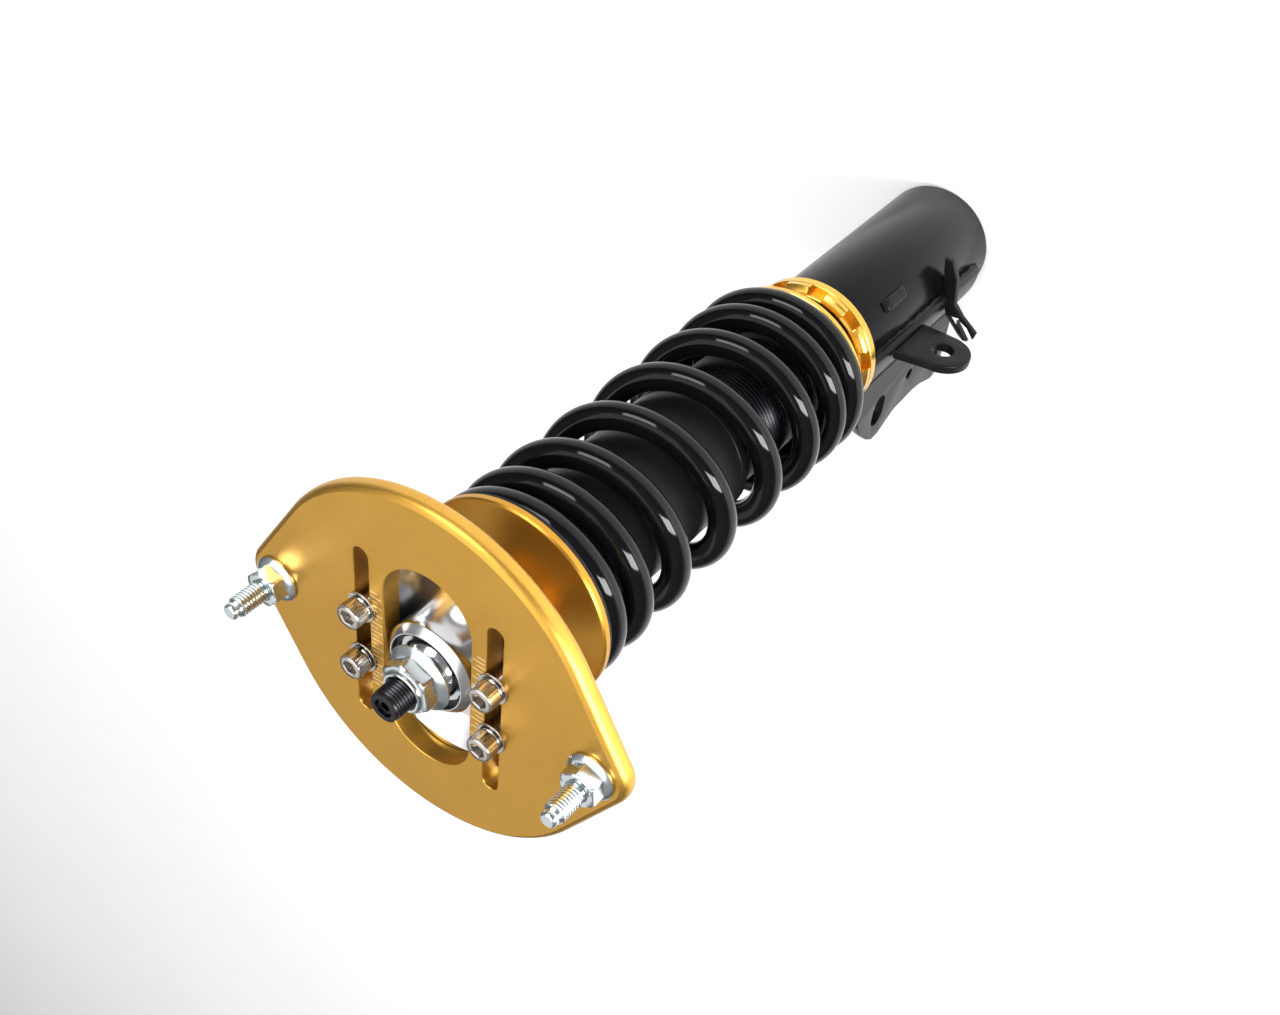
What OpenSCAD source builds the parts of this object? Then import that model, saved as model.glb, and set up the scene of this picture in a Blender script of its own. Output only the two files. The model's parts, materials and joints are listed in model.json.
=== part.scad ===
// MacPherson strut coilover with a camber-adjustable pillow-ball top mount.
// Origin: the rod's axis where it crosses the top face of the camber plate.
// +Z points up out of the car's body, X runs through the two mounting studs.

/* [Camber plate] */
// Radius of the plate
plate_r = 71; // [68:0.5:74]
// Thickness of the plate
plate_t = 8; // [6:0.5:10]
// Chamfer round the plate's edges
plate_chamfer = 1.5; // [0.5:0.25:2.5]
// Distance from the axis to each stud
stud_x = 68.5; // [66:0.5:70]
// Radius of the ear round each stud
ear_r = 13; // [11:0.5:15]
// Half width of the middle window
window_half_w = 18.8; // [18.6:0.1:20]
// Half length of the middle window
window_half_l = 43.4; // [42.5:0.1:44]
// Distance from the axis to each screw slot
slot_x = 28.3; // [27:0.1:30]
// Width of a screw slot
slot_w = 6.5; // [6.2:0.1:7]
// Length of a screw slot
slot_l = 77.6; // [74:0.2:79]

/* [Studs and nuts] */
// Radius of the stud's M8 thread
stud_r = 4; // [4:0.5:5]
// Height of the stud's tip
stud_top = 22.9; // [20:0.1:28]
// Radius of the stud's knurled shank in the plate
stud_shank_r = 4.5; // [4.3:0.1:5]
// Pitch radius of the M8 thread, where the nut grips it
stud_pitch_r = 3.6; // [3.5:0.02:3.7]
// Radius of the stud's head under the plate
stud_head_r = 7; // [6:0.5:8]
// Thickness of the stud's head
stud_head_t = 3; // [2:0.5:4]
// Hexagon of the flange nut, across flats
nut_af = 13; // [12:0.5:14]
// Height of the flange nut
nut_h = 8; // [7:0.5:9]
// Radius of the nut's flange
nut_flange_r = 9.1; // [8.5:0.1:9.5]

/* [Camber screws] */
// Half the distance between the two screws of a slot
screw_y = 12.15; // [11:0.05:12.4]
// Radius of the M6 shank
screw_r = 3; // [2.5:0.1:3]
// Radius of the cap head
screw_head_r = 5; // [4.5:0.1:5.2]
// Height of the cap head
screw_head_h = 5.4; // [5:0.1:6]
// Width of the hexagon socket
screw_socket_af = 5; // [4:0.5:5]
// Radius of the plain washer
washer_r = 6; // [5.6:0.1:6.4]
// Thickness of the plain washer
washer_t = 0.8; // [0.6:0.1:1]
// Thickness of the split washer
spring_washer_t = 1.2; // [0.9:0.1:1.4]

/* [Bearing carrier] */
// Outer radius of the carrier
carrier_r = 46; // [45:0.5:48]
// Height of the carrier's underside
carrier_bottom = -22; // [-24:0.5:-20]
// Radius of the raised hub
hub_r = 18.2; // [17.8:0.1:18.4]
// Height of the hub's lip above the plate's face
hub_top = 0.7; // [0.4:0.1:1]
// Half width of the recess between the two lands
recess_half_w = 19.2; // [18.8:0.1:20]
// Depth of the recess below the lands
recess_depth = 6.5; // [5:0.5:8]

/* [Spherical bearing] */
// Height of the ball's centre
ball_z = -7; // [-8:0.1:-7]
// Radius of the ball
ball_r = 12.4; // [12:0.1:12.4]
// Outer radius of the race
race_r = 15; // [14.8:0.1:15]
// Height of the race
race_h = 10; // [9:0.5:10]
// Half height of the ball between its flats
ball_half_h = 8; // [7:0.25:8]
// Radius of the ball's bore
ball_bore_r = 8.5; // [8:0.1:8.6]

/* [Rod] */
// Radius of the damper rod
rod_r = 10; // [9:0.5:10]
// Radius of the M12 thread at each end
rod_thread_r = 6; // [5.5:0.5:6]
// Height of the rod's tip
rod_top = 21.2; // [19:0.1:24]
// Height of the rod's shoulder, which carries the bearing washer
rod_shoulder = -27.5; // [-28.5:0.5:-27.5]
// Hexagon of the rod nut, across flats
rod_nut_af = 18.5; // [18:0.5:19]
// Radius of the rod nut's flange
rod_nut_flange_r = 13; // [12:0.25:13]
// Radius of the rod nut's collar
rod_nut_collar_r = 7.9; // [7.5:0.1:8.5]

/* [Upper seat] */
// Radius of the upper spring seat
seat_r = 41.3; // [41:0.1:43]
// Height of the seat's top face
seat_top = -44; // [-45:0.5:-42]
// Height of the spring's upper end
spring_top = -49.5; // [-50:0.5:-49.5]

/* [Coil spring] */
// Length of the spring between its ground ends
spring_l = 180; // [175:1:185]
// Outer diameter of the spring
spring_d = 82; // [81:0.5:82]
// Diameter of the wire
wire_d = 11.2; // [10.5:0.1:11.2]
// Number of turns
spring_turns = 8.1; // [8:0.05:8.2]

/* [Damper body] */
// Radius of the threaded damper body
body_r = 25; // [24:0.5:25]
// Height of the body's top
body_top = -142; // [-143:0.5:-141]
// Height of the body's lower end
body_bottom = -340; // [-345:1:-335]
// Wall of the damper body
body_wall = 3; // [2.5:0.25:3]
// Outer radius of the dust boot
boot_r = 28.3; // [28:0.1:28.6]
// Height of the boot's lower end
boot_bottom = -157; // [-165:1:-150]

/* [Perch and lock ring] */
// Radius of the perch's flange
perch_r = 37; // [36:0.25:38]
// Radius of the perch's castellated skirt
perch_skirt_r = 30; // [29:0.25:31]
// Height of the perch's lower end
perch_bottom = -242; // [-243:0.5:-241]
// Number of castellations and of spanner notches
notches = 10; // [8:1:12]
// Radius of the lock ring
lock_ring_r = 31.8; // [31:0.1:33]
// Thickness of the lock ring
lock_ring_h = 9.8; // [9:0.1:10]

/* [Lower mount] */
// Radius of the lower tube
tube_r = 28; // [27.5:0.25:28]
// Height of the lower tube's mouth
tube_top = -256.35; // [-257:0.05:-256]
// Height of the lower tube's end
tube_bottom = -378.3; // [-382:0.1:-372]
// Thickness of the ear plates
ear_t = 4; // [3.5:0.25:4]
// Thickness of the saddle strip beside each ear
saddle_t = 2.5; // [2:0.1:3]
// Distance from the axis to the knuckle bolts
bolt_y = -38; // [-39:0.5:-37]
// Height of the lower knuckle bolt
lower_bolt_z = -338; // [-339:0.5:-336]
// Height of the upper, slotted knuckle bolt
upper_bolt_z = -282; // [-283:0.5:-281]
// Radius of the knuckle bolt holes
bolt_r = 5.25; // [5.1:0.05:5.3]
// Radius of the hole in the link tab
link_hole_r = 5; // [4.5:0.1:5.2]

/* [Hidden] */
$fn = 96;
// Radial clearance of a running fit
fit = 0.05;
// Small overlap that lets a cut pass through a face
cut = 1;
slot_end_y = (slot_l - slot_w) / 2;
window_arc_y = window_half_l - window_half_w;
carrier_top = -plate_t - fit;
washer_top = washer_t;
spring_washer_top = washer_top + spring_washer_t;
screw_top = spring_washer_top + screw_head_h;
race_top = ball_z + race_h / 2;
race_bottom = ball_z - race_h / 2;
ball_top = ball_z + ball_half_h;
ball_bottom = ball_z - ball_half_h;
ring_groove_depth = 0.8;
ring_groove_w = 1.2;
ring_groove_r = race_r + ring_groove_depth;
ring_top = race_top + ring_groove_w;
liner_t = 0.3;
liner_outer_r = ball_r + liner_t;
rod_end_bottom = -190;
rod_end_shoulder = -166;
rod_bore_r = 3.5;
upper_spacer_h = 2;
upper_spacer_top = ball_top + upper_spacer_h;
bearing_washer_t = 1.5;
bearing_washer_top = rod_shoulder + bearing_washer_t;
bearing_outer_r = 18;
bearing_h = 3;
bearing_bottom = rod_shoulder - bearing_h;
seat_rim_t = 4;
seat_rim_bottom = seat_top - seat_rim_t;
spigot_r = 26.7;
spigot_bottom = -53;
spring_bottom = spring_top - spring_l;
spring_r = (spring_d - wire_d) / 2;
isolator_t = 1.5;
isolator_bottom = spring_bottom - isolator_t;
lock_ring_top = tube_top + fit + lock_ring_h;
body_bore_r = body_r - body_wall;
gland_h = 4;
gland_bottom = body_top - gland_h;
seal_h = 4;
seal_bottom = gland_bottom - seal_h;
rod_guide_h = 10;
rod_guide_bottom = seal_bottom - rod_guide_h;
plug_h = 5;
cylinder_bottom = body_bottom + plug_h;
cylinder_outer_r = 17.5;
cylinder_inner_r = 16;
piston_h = 14;
piston_bottom = rod_end_shoulder - piston_h;
saddle_r = tube_r + saddle_t;

// A tube or, with no inner radius, a disc between two heights.
module ring(outer, inner, bottom, top) {
    translate([0, 0, bottom])
    difference() {
        cylinder(r = outer, h = top - bottom);
        if (inner > 0) translate([0, 0, -cut]) cylinder(r = inner, h = top - bottom + 2 * cut);
    }
}

// A disc with a chamfer round both its edges.
module chamfered_disc(r, bottom, top, c) {
    rotate_extrude()
    polygon([[0, bottom], [r - c, bottom], [r, bottom + c], [r, top - c], [r - c, top], [0, top]]);
}

// A hexagonal prism given by its width across flats.
module hexagon(af, bottom, top) {
    translate([0, 0, bottom]) cylinder(r = af / sqrt(3), h = top - bottom, $fn = 6);
}

// A straight slot with round ends along Y, cut from bottom to top.
module slot_y(half_w, end_y, bottom, top) {
    translate([-half_w, -end_y, bottom]) cube([2 * half_w, 2 * end_y, top - bottom]);
    for (s = [-1, 1]) translate([0, s * end_y, bottom]) cylinder(r = half_w, h = top - bottom);
}

// A round hole along X, from one height above the axis to another.
module hole_x(r, y, z, x0, x1) {
    translate([x0, y, z]) rotate([0, 90, 0]) cylinder(r = r, h = x1 - x0);
}

module at_studs() {
    for (s = [-1, 1]) translate([s * stud_x, 0, 0]) children();
}

module at_screws() {
    for (x = [-1, 1], y = [-1, 1]) translate([x * slot_x, y * screw_y, 0]) children();
}

module camber_plate() {
    // The web between the disc and an ear ends where one tangent line touches both circles.
    tangent = acos((plate_r - ear_r) / stud_x);
    disc_point = plate_r * [cos(tangent), sin(tangent)];
    ear_point = ear_r * [cos(tangent), sin(tangent)] + [stud_x, 0];
    color("goldenrod")
    difference() {
        union() {
            chamfered_disc(plate_r, -plate_t, 0, plate_chamfer);
            at_studs() chamfered_disc(ear_r, -plate_t, 0, plate_chamfer);
            for (s = [0, 180]) rotate([0, 0, s]) translate([0, 0, -plate_t + plate_chamfer])
                linear_extrude(plate_t - 2 * plate_chamfer)
                polygon([[0, 0], disc_point, ear_point, [ear_point[0], -ear_point[1]],
                    [disc_point[0], -disc_point[1]]]);
        }
        slot_y(window_half_w, window_arc_y, -plate_t - cut, cut);
        for (s = [-1, 1]) translate([s * slot_x, 0, 0])
            slot_y(slot_w / 2, slot_end_y, -plate_t - cut, cut);
        at_studs() translate([0, 0, -plate_t - cut]) cylinder(r = stud_shank_r, h = plate_t + 2 * cut);
    }
}

module mounting_studs() {
    dog_r = stud_r - 0.9;
    dog_h = 2.4;
    color("silver")
    at_studs() {
        ring(stud_head_r, 0, -plate_t - stud_head_t, -plate_t);
        ring(stud_shank_r, 0, -plate_t, 0);
        ring(stud_pitch_r, 0, 0, nut_h);
        ring(stud_r, 0, nut_h, stud_top - dog_h);
        ring(dog_r, 0, stud_top - dog_h, stud_top);
    }
}

module flange_nuts() {
    flange_t = 1.8;
    color("silver")
    at_studs() difference() {
        union() {
            ring(nut_flange_r, 0, 0, flange_t);
            hexagon(nut_af, flange_t, nut_h);
        }
        ring(stud_pitch_r + fit, 0, -cut, nut_h + cut);
    }
}

module bearing_carrier() {
    land_r = 41;
    recess_floor_r = 31;
    shoulder_r = 13;
    shoulder_t = 1.5;
    mouth_r = 20;
    hub_chamfer = 2.6;
    floor_z = carrier_top - recess_depth;
    color("gainsboro")
    difference() {
        union() {
            chamfered_disc(carrier_r, carrier_bottom, carrier_top, 1);
            ring(hub_r, 0, floor_z, hub_top - hub_chamfer);
            translate([0, 0, hub_top - hub_chamfer])
                cylinder(r1 = hub_r, r2 = hub_r - hub_chamfer, h = hub_chamfer);
        }
        // Recess between the lands, round the hub, with a conical wall.
        intersection() {
            rotate_extrude() polygon([[hub_r, floor_z], [recess_floor_r, floor_z], [land_r, carrier_top],
                [land_r, carrier_top + cut], [hub_r, carrier_top + cut]]);
            translate([-recess_half_w, -land_r, floor_z - cut])
                cube([2 * recess_half_w, 2 * land_r, recess_depth + 3 * cut]);
        }
        ring(race_r, 0, race_bottom, hub_top + cut);
        ring(ring_groove_r, 0, race_top, ring_top);
        ring(shoulder_r, 0, race_bottom - shoulder_t, race_bottom + cut);
        // The mouth opens downwards so that the lower spacer can tilt.
        rotate_extrude() polygon([[0, race_bottom - shoulder_t], [shoulder_r, race_bottom - shoulder_t],
            [mouth_r, carrier_bottom - fit], [0, carrier_bottom - fit]]);
        at_screws() ring(screw_r + fit, 0, carrier_bottom - cut, carrier_top + cut);
    }
}

module carrier_screws() {
    socket_depth = 3;
    screw_end = carrier_bottom + 3;
    color("silver")
    at_screws() difference() {
        union() {
            ring(screw_r, 0, screw_end, spring_washer_top);
            ring(screw_head_r, 0, spring_washer_top, screw_top);
        }
        hexagon(screw_socket_af, screw_top - socket_depth, screw_top + cut);
    }
}

module spring_washers() {
    gap = 1;
    color("silver")
    at_screws() difference() {
        ring(screw_head_r, screw_r + fit, washer_top, spring_washer_top);
        translate([0, -gap / 2, washer_top - cut])
            cube([screw_head_r + cut, gap, spring_washer_t + 2 * cut]);
    }
}

module flat_washers() {
    color("silver") at_screws() ring(washer_r, screw_r + fit, 0, washer_top);
}

module bearing_race() {
    color("dimgray")
    difference() {
        ring(race_r, 0, race_bottom, race_top);
        translate([0, 0, ball_z]) sphere(r = liner_outer_r);
    }
}

module retaining_ring() {
    inner_r = 13.6;
    gap = 6;
    color("dimgray")
    difference() {
        ring(ring_groove_r - fit, inner_r, race_top + fit, ring_top - fit);
        translate([0, -gap / 2, race_top]) cube([race_r + 2 * cut, gap, ring_top - race_top]);
    }
}

module bearing_liner() {
    half_h = 4.4;
    color("white")
    difference() {
        intersection() {
            translate([0, 0, ball_z]) sphere(r = liner_outer_r - fit);
            ring(race_r, 0, ball_z - half_h, ball_z + half_h);
        }
        translate([0, 0, ball_z]) sphere(r = ball_r + fit);
    }
}

module pillow_ball() {
    color("lightgray")
    difference() {
        intersection() {
            translate([0, 0, ball_z]) sphere(r = ball_r);
            ring(ball_r + cut, 0, ball_bottom, ball_top);
        }
        ring(ball_bore_r, 0, ball_bottom - cut, ball_top + cut);
    }
}

module upper_spacer() {
    foot_r = 9.2;
    head_r = 10.5;
    color("silver")
    difference() {
        union() {
            ring(ball_bore_r - fit, 0, ball_z, ball_top);
            translate([0, 0, ball_top]) cylinder(r1 = foot_r, r2 = head_r, h = upper_spacer_top - ball_top);
        }
        ring(rod_thread_r + fit, 0, ball_z - cut, upper_spacer_top + cut);
    }
}

module lower_spacer() {
    neck_r = 9.2;
    foot_r = 13;
    foot_t = 2;
    color("silver")
    difference() {
        union() {
            ring(ball_bore_r - fit, 0, ball_bottom, ball_z);
            ring(neck_r, 0, bearing_washer_top + foot_t, ball_bottom);
            ring(foot_r, 0, bearing_washer_top, bearing_washer_top + foot_t);
        }
        ring(rod_thread_r + fit, 0, bearing_washer_top - cut, ball_z + cut);
    }
}

module rod_nut() {
    flange_t = 1.6;
    hex_h = 6.4;
    collar_h = 1.8;
    hex_top = upper_spacer_top + flange_t + hex_h;
    color("silver")
    difference() {
        union() {
            ring(rod_nut_flange_r, 0, upper_spacer_top, upper_spacer_top + flange_t);
            hexagon(rod_nut_af, upper_spacer_top + flange_t, hex_top);
            ring(rod_nut_collar_r, 0, hex_top, hex_top + collar_h);
        }
        ring(rod_thread_r + fit, 0, upper_spacer_top - cut, hex_top + collar_h + cut);
    }
}

module piston_rod() {
    bore_depth = 12;
    tip_chamfer = 0.8;
    color("dimgray")
    difference() {
        union() {
            ring(rod_thread_r, 0, rod_shoulder, rod_top - tip_chamfer);
            translate([0, 0, rod_top - tip_chamfer])
                cylinder(r1 = rod_thread_r, r2 = rod_thread_r - tip_chamfer, h = tip_chamfer);
            ring(rod_r, 0, rod_end_shoulder, rod_shoulder);
            ring(rod_thread_r, 0, rod_end_bottom, rod_end_shoulder);
        }
        ring(rod_bore_r, 0, rod_top - bore_depth, rod_top + cut);
    }
}

module damping_adjuster() {
    adjuster_r = rod_bore_r - fit;
    adjuster_l = 10;
    below_tip = 1;
    socket_af = 3;
    socket_depth = 3;
    color("black")
    difference() {
        ring(adjuster_r, 0, rod_top - below_tip - adjuster_l, rod_top - below_tip);
        hexagon(socket_af, rod_top - below_tip - socket_depth, rod_top + cut);
    }
}

module bearing_washer() {
    color("silver") ring(bearing_outer_r, rod_thread_r + fit, rod_shoulder, bearing_washer_top);
}

module bump_stop() {
    top_z = seat_rim_bottom - fit;
    bottom_z = -68;
    end_r = 16;
    middle_r = 20;
    color("gold")
    difference() {
        rotate_extrude() polygon([[0, bottom_z], [end_r, bottom_z], [middle_r, (top_z + bottom_z) / 2],
            [middle_r, top_z], [0, top_z]]);
        ring(rod_r + fit, 0, bottom_z - cut, top_z + cut);
    }
}

module piston() {
    color("darkgray") ring(cylinder_inner_r - fit, rod_thread_r + fit, piston_bottom, rod_end_shoulder);
}

module piston_nut() {
    bottom_z = piston_bottom - 8;
    color("silver")
    difference() {
        hexagon(rod_nut_af, bottom_z, piston_bottom);
        ring(rod_thread_r + fit, 0, bottom_z - cut, piston_bottom + cut);
    }
}

module upper_spring_seat() {
    hub_outer_r = 19;
    spigot_wall = 3;
    bevel = 1.2;
    color("darkgoldenrod")
    difference() {
        union() {
            chamfered_disc(seat_r, seat_rim_bottom, seat_top, bevel);
            ring(hub_outer_r, 0, seat_top - cut, bearing_bottom);
            ring(spigot_r, 0, spigot_bottom, seat_rim_bottom + bevel);
        }
        ring(rod_r + fit, 0, spigot_bottom - cut, bearing_bottom + cut);
        // The bump stop's place inside the spigot.
        ring(spigot_r - spigot_wall, 0, spigot_bottom - cut, seat_rim_bottom);
    }
}

module thrust_bearing() {
    inner_r = 12;
    color("silver") ring(bearing_outer_r, inner_r, bearing_bottom, rod_shoulder - fit);
}

module upper_isolator() {
    outer_r = 40.5;
    inner_r = 29.5;
    color("black") ring(outer_r, inner_r, spring_top, seat_rim_bottom);
}

// The wire's centre line: close turns at both ends and a wider pitch between them. It starts
// and ends beyond the seats, where the wire's ends are ground flat.
function coil_point(u) =
    let (start_angle = 251.5, end_closing = 0.48, start_z = spring_top + 2, centre_l = spring_l + 4)
    [start_angle - 360 * spring_turns * u,
        start_z - centre_l * (u - end_closing * sin(360 * u) / (2 * PI))];

// One corner of the wire's section, held between the two ground faces.
function coil_corner(p, a) =
    let (r = spring_r + wire_d / 2 * cos(a), z = p[1] + wire_d / 2 * sin(a))
    [r * cos(p[0]), r * sin(p[0]), max(spring_bottom, min(spring_top, z))];

module coil_spring() {
    sides = 12;
    rings = round(spring_turns * 24);
    points = [for (i = [0:rings], k = [0:sides - 1])
        coil_corner(coil_point(i / rings), 360 * k / sides)];
    walls = [for (i = [0:rings - 1], k = [0:sides - 1])
        let (a = i * sides + k, b = i * sides + (k + 1) % sides)
        each [[a, b, b + sides], [a, b + sides, a + sides]]];
    start_cap = [for (k = [sides - 1:-1:0]) k];
    end_cap = [for (k = [0:sides - 1]) rings * sides + k];
    color("black") polyhedron(points, concat(walls, [start_cap], [end_cap]));
}

module dust_boot() {
    wall = 1.5;
    grip = 2;
    color("black") ring(boot_r, boot_r - wall, boot_bottom, spigot_bottom + grip);
}

module damper_tube() {
    color("dimgray") ring(body_r, body_bore_r, body_bottom, body_top);
}

module gland_nut() {
    pin_hole_r = 1.5;
    pin_circle_r = 16;
    pin_depth = 2.5;
    rod_clearance = 0.4;
    color("dimgray")
    difference() {
        ring(body_bore_r - fit, rod_r + rod_clearance, gland_bottom, body_top);
        for (a = [0:90:270]) rotate([0, 0, a]) translate([pin_circle_r, 0, 0])
            ring(pin_hole_r, 0, body_top - pin_depth, body_top + cut);
    }
}

module rod_seal() {
    color("black") ring(body_bore_r - fit, rod_r + fit, seal_bottom, gland_bottom);
}

module rod_guide() {
    color("gray") ring(body_bore_r - fit, rod_r + fit, rod_guide_bottom, seal_bottom);
}

module pressure_cylinder() {
    color("lightgray") ring(cylinder_outer_r, cylinder_inner_r, cylinder_bottom, rod_guide_bottom);
}

module base_valve() {
    valve_h = 8;
    color("darkgray") ring(cylinder_inner_r - fit, 0, cylinder_bottom, cylinder_bottom + valve_h);
}

module base_plug() {
    color("gray") ring(body_bore_r - fit, 0, body_bottom, cylinder_bottom);
}

module lower_isolator() {
    outer_r = 36.5;
    color("black") ring(outer_r, body_r + fit, isolator_bottom, spring_bottom);
}

module spring_perch() {
    flange_t = 3.5;
    web_r = 28;
    skirt_top = -236.5;
    chamfer = 0.8;
    skirt_lift = 1;
    gap_depth = perch_skirt_r - web_r + cut;
    gap_w = 9;
    first_gap = 53;
    color("gold")
    difference() {
        union() {
            chamfered_disc(perch_r, isolator_bottom - flange_t, isolator_bottom, chamfer);
            ring(web_r, 0, perch_bottom, isolator_bottom);
            ring(perch_skirt_r, 0, perch_bottom + skirt_lift, skirt_top);
        }
        ring(body_r + fit, 0, perch_bottom - cut, isolator_bottom + cut);
        for (k = [0:notches - 1]) rotate([0, 0, first_gap + k * 360 / notches])
            translate([web_r, -gap_w / 2, perch_bottom - cut])
            cube([gap_depth, gap_w, skirt_top - perch_bottom + cut]);
    }
}

module lock_ring() {
    bevel_w = 3;
    bevel_h = 2;
    edge = 0.6;
    first_notch = 16.3;
    notch_w = 8;
    notch_floor_r = lock_ring_r - 3;
    notch_h = 5;
    bottom_z = tube_top + fit;
    color("gold")
    difference() {
        rotate_extrude() polygon([[body_r + fit, bottom_z], [lock_ring_r - edge, bottom_z],
            [lock_ring_r, bottom_z + edge], [lock_ring_r, lock_ring_top - bevel_h],
            [lock_ring_r - bevel_w, lock_ring_top], [body_r + fit, lock_ring_top]]);
        for (k = [0:notches - 1]) rotate([0, 0, first_notch + k * 360 / notches])
            translate([notch_floor_r, -notch_w / 2, lock_ring_top - notch_h])
            cube([lock_ring_r, notch_w, notch_h + cut]);
    }
}

module lower_tube() {
    end_t = 4;
    color("#151515")
    difference() {
        ring(tube_r, 0, tube_bottom, tube_top);
        ring(body_r + fit, 0, tube_bottom + end_t, tube_top + cut);
    }
}

// Section of the saddle that wraps the tube beside each ear.
module saddle_section(outer) {
    from_angle = -30;
    to_angle = 8;
    reach = 2 * tube_r;
    intersection() {
        circle(r = outer);
        polygon([[0, 0], [reach, reach * tan(from_angle)], [reach, reach * tan(to_angle)]]);
    }
}

// Section of an ear across the tube: a flat flange and its saddle.
module ear_section() {
    reach = 2.2 * tube_r;
    flange_end = -12;
    difference() {
        union() {
            translate([tube_r - ear_t, -reach]) square([ear_t, reach + flange_end]);
            saddle_section(saddle_r);
        }
        circle(r = tube_r + fit);
    }
}

// One folded ear, cut to its outline in the YZ plane.
module knuckle_ear() {
    slot_half_l = 3;
    clip_hole_r = 2.75;
    clip_hole = [-32.5, -311];
    outline = [[10, -258], [-18, -258], [-36, -261], [-44, -267], [-52, -276], [-55.5, -282],
        [-55.5, -288], [-49, -302], [-48, -321], [-49, -330], [-53, -343], [-51, -350],
        [-18, -350], [-18, -365], [10, -365]];
    difference() {
        intersection() {
            translate([0, 0, tube_bottom]) linear_extrude(tube_top - tube_bottom) ear_section();
            rotate([90, 0, 90]) linear_extrude(2 * tube_r) polygon(outline);
        }
        hole_x(bolt_r, bolt_y, lower_bolt_z, 0, 2 * tube_r);
        for (s = [-1, 1]) hole_x(bolt_r, bolt_y + s * slot_half_l, upper_bolt_z, 0, 2 * tube_r);
        translate([0, bolt_y - slot_half_l, upper_bolt_z - bolt_r])
            cube([2 * tube_r, 2 * slot_half_l, 2 * bolt_r]);
        hole_x(clip_hole_r, clip_hole[0], clip_hole[1], 0, 2 * tube_r);
    }
}

module knuckle_ears() {
    color("#151515") {
        knuckle_ear();
        mirror([1, 0, 0]) knuckle_ear();
    }
}

// A flat tab in the XZ plane with a round end, its top face towards +Y.
module link_tab() {
    tab_t = 4.5;
    end_r = 13;
    root_top = -277;
    root_bottom = -306;
    hole = [46.8, -293];
    root_x = saddle_r + fit;
    color("#151515")
    rotate([90, 0, 0])
    difference() {
        union() {
            linear_extrude(tab_t) polygon([[root_x, root_top], [hole[0], hole[1] + end_r],
                [hole[0], hole[1] - end_r], [root_x, root_bottom]]);
            translate([hole[0], hole[1], 0]) cylinder(r = end_r, h = tab_t);
        }
        translate([hole[0], hole[1], -cut]) cylinder(r = link_hole_r, h = tab_t + 2 * cut);
    }
}

module tube_rib() {
    half_angle = 6;
    middle_angle = 41;
    rib_t = 2.5;
    rib_top = -277;
    rib_bottom = -295.5;
    color("#151515")
    rotate([0, 0, middle_angle - half_angle])
    rotate_extrude(angle = 2 * half_angle)
    translate([tube_r + fit, rib_bottom]) square([rib_t, rib_top - rib_bottom]);
}

// A flat strip that leaves the tube sideways and ends in a fork for the brake hose.
module hose_bracket() {
    bracket_t = 3;
    face_z = -330;
    fork_start = [39.6, -8];
    fork_w = 3.2;
    fork_angle = -48;
    outline = [[24, 21], [23, 11], [25.6, -1.2], [31.3, -7.1], [39.5, -14.5], [42.6, -16.5],
        [47.3, -14.3], [47.9, -10.6], [39.6, -4.9], [34.7, 0.1], [32.5, 12.9], [28.4, 20.8]];
    color("#151515")
    difference() {
        translate([0, 0, face_z - bracket_t]) linear_extrude(bracket_t) polygon(outline);
        ring(tube_r + fit, 0, tube_bottom, tube_top);
        translate([0, 0, face_z - bracket_t - cut])
            linear_extrude(bracket_t + 2 * cut) saddle_section(saddle_r + fit);
        translate([fork_start[0], fork_start[1], face_z - bracket_t - cut]) rotate([0, 0, fork_angle]) {
            cylinder(r = fork_w / 2, h = bracket_t + 2 * cut);
            translate([0, -fork_w / 2, 0]) cube([tube_r, fork_w, bracket_t + 2 * cut]);
        }
    }
}

camber_plate();
mounting_studs();
flange_nuts();
bearing_carrier();
carrier_screws();
spring_washers();
flat_washers();
bearing_race();
retaining_ring();
bearing_liner();
pillow_ball();
upper_spacer();
lower_spacer();
rod_nut();
piston_rod();
bearing_washer();
bump_stop();
piston();
piston_nut();
damping_adjuster();
upper_spring_seat();
thrust_bearing();
upper_isolator();
coil_spring();
dust_boot();
damper_tube();
gland_nut();
rod_seal();
rod_guide();
pressure_cylinder();
base_valve();
base_plug();
lower_isolator();
spring_perch();
lower_tube();
knuckle_ears();
link_tab();
tube_rib();
hose_bracket();
lock_ring();
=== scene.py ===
"""Looks of the coilover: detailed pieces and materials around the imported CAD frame."""

import json
import math

import bmesh
import bpy
from mathutils import Matrix, Vector
from mathutils.geometry import tessellate_polygon


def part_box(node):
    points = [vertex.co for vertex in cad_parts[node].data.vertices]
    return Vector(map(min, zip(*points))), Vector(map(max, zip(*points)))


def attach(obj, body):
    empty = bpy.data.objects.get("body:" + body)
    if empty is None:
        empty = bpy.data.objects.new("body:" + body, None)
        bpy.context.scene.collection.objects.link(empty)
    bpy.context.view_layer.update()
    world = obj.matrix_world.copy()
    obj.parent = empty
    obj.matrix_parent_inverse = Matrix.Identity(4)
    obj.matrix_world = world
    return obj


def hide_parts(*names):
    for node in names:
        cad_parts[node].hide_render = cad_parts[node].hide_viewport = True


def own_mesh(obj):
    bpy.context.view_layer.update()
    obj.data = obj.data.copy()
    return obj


MM = 0.001
TAU = 2 * math.pi

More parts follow.
